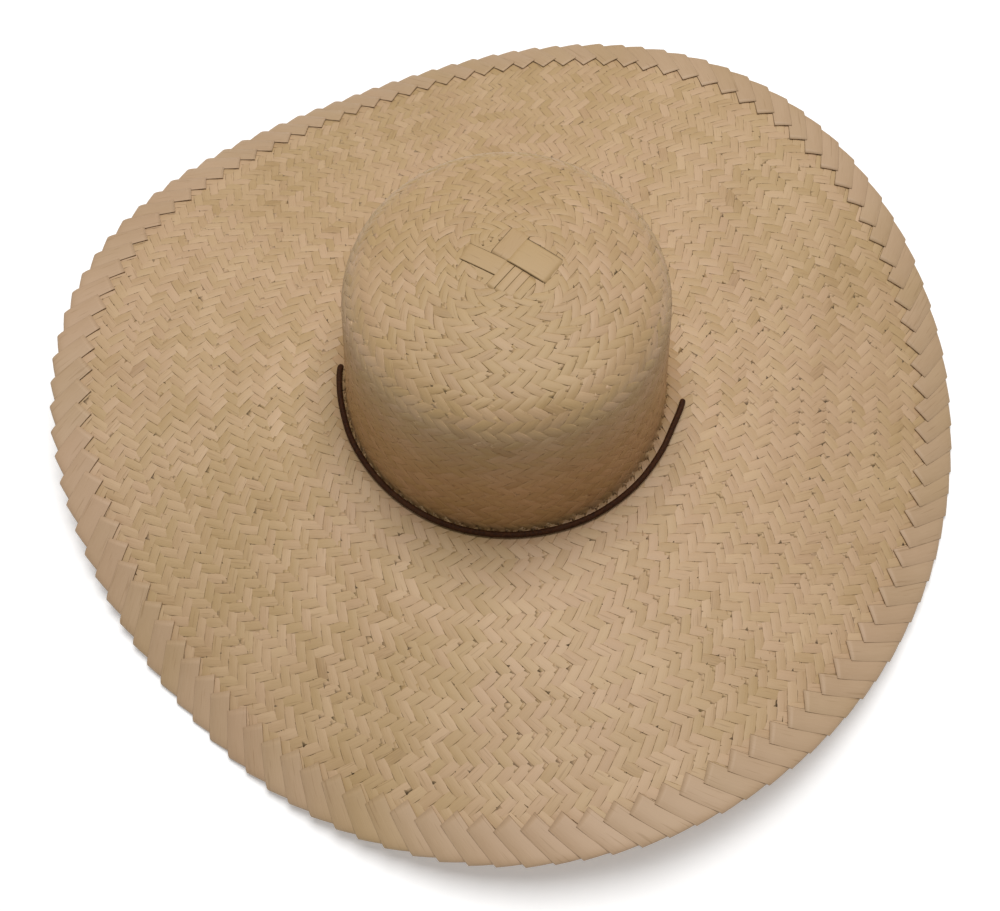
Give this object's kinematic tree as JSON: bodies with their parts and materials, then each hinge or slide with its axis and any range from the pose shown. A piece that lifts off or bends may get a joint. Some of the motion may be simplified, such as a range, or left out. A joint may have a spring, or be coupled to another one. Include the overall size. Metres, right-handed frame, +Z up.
{
  "type": "straw sun hat",
  "caption": "Woven palm-leaf sun hat with an oval crown, a very wide wavy brim with a folded edge, and a dark chin cord with a sliding bead.",
  "frame": {"origin": "on the surface that the brim rests on, at the middle of the hat's footprint", "axes": "+Z up out of the crown's top, -Y towards the front of the hat, +X to the right as seen from the front"},
  "size_m": [0.5154, 0.5331, 0.1431],
  "materials": {
    "palm_leaf": "matt",
    "palm_leaf_edge": "matt",
    "dark_cord": "satin",
    "bead_wood": "satin"
  },
  "bodies": {
    "hat": {"crown_tip": "palm_leaf", "crown_shoulder": "palm_leaf", "crown_wall": "palm_leaf", "brim": "palm_leaf", "brim_edge": "palm_leaf_edge", "chin_cord_front": "dark_cord", "chin_cord_left": "dark_cord", "chin_cord_right": "dark_cord", "cord_end_knot": "dark_cord"},
    "slider": {"cord_slider": "bead_wood"}
  },
  "joints": [
    {"name": "slider_slide", "type": "slide", "parent": "hat", "child": "slider", "axis": [0, -1, 0], "range_m": [-0.012, 0.012]}
  ]
}
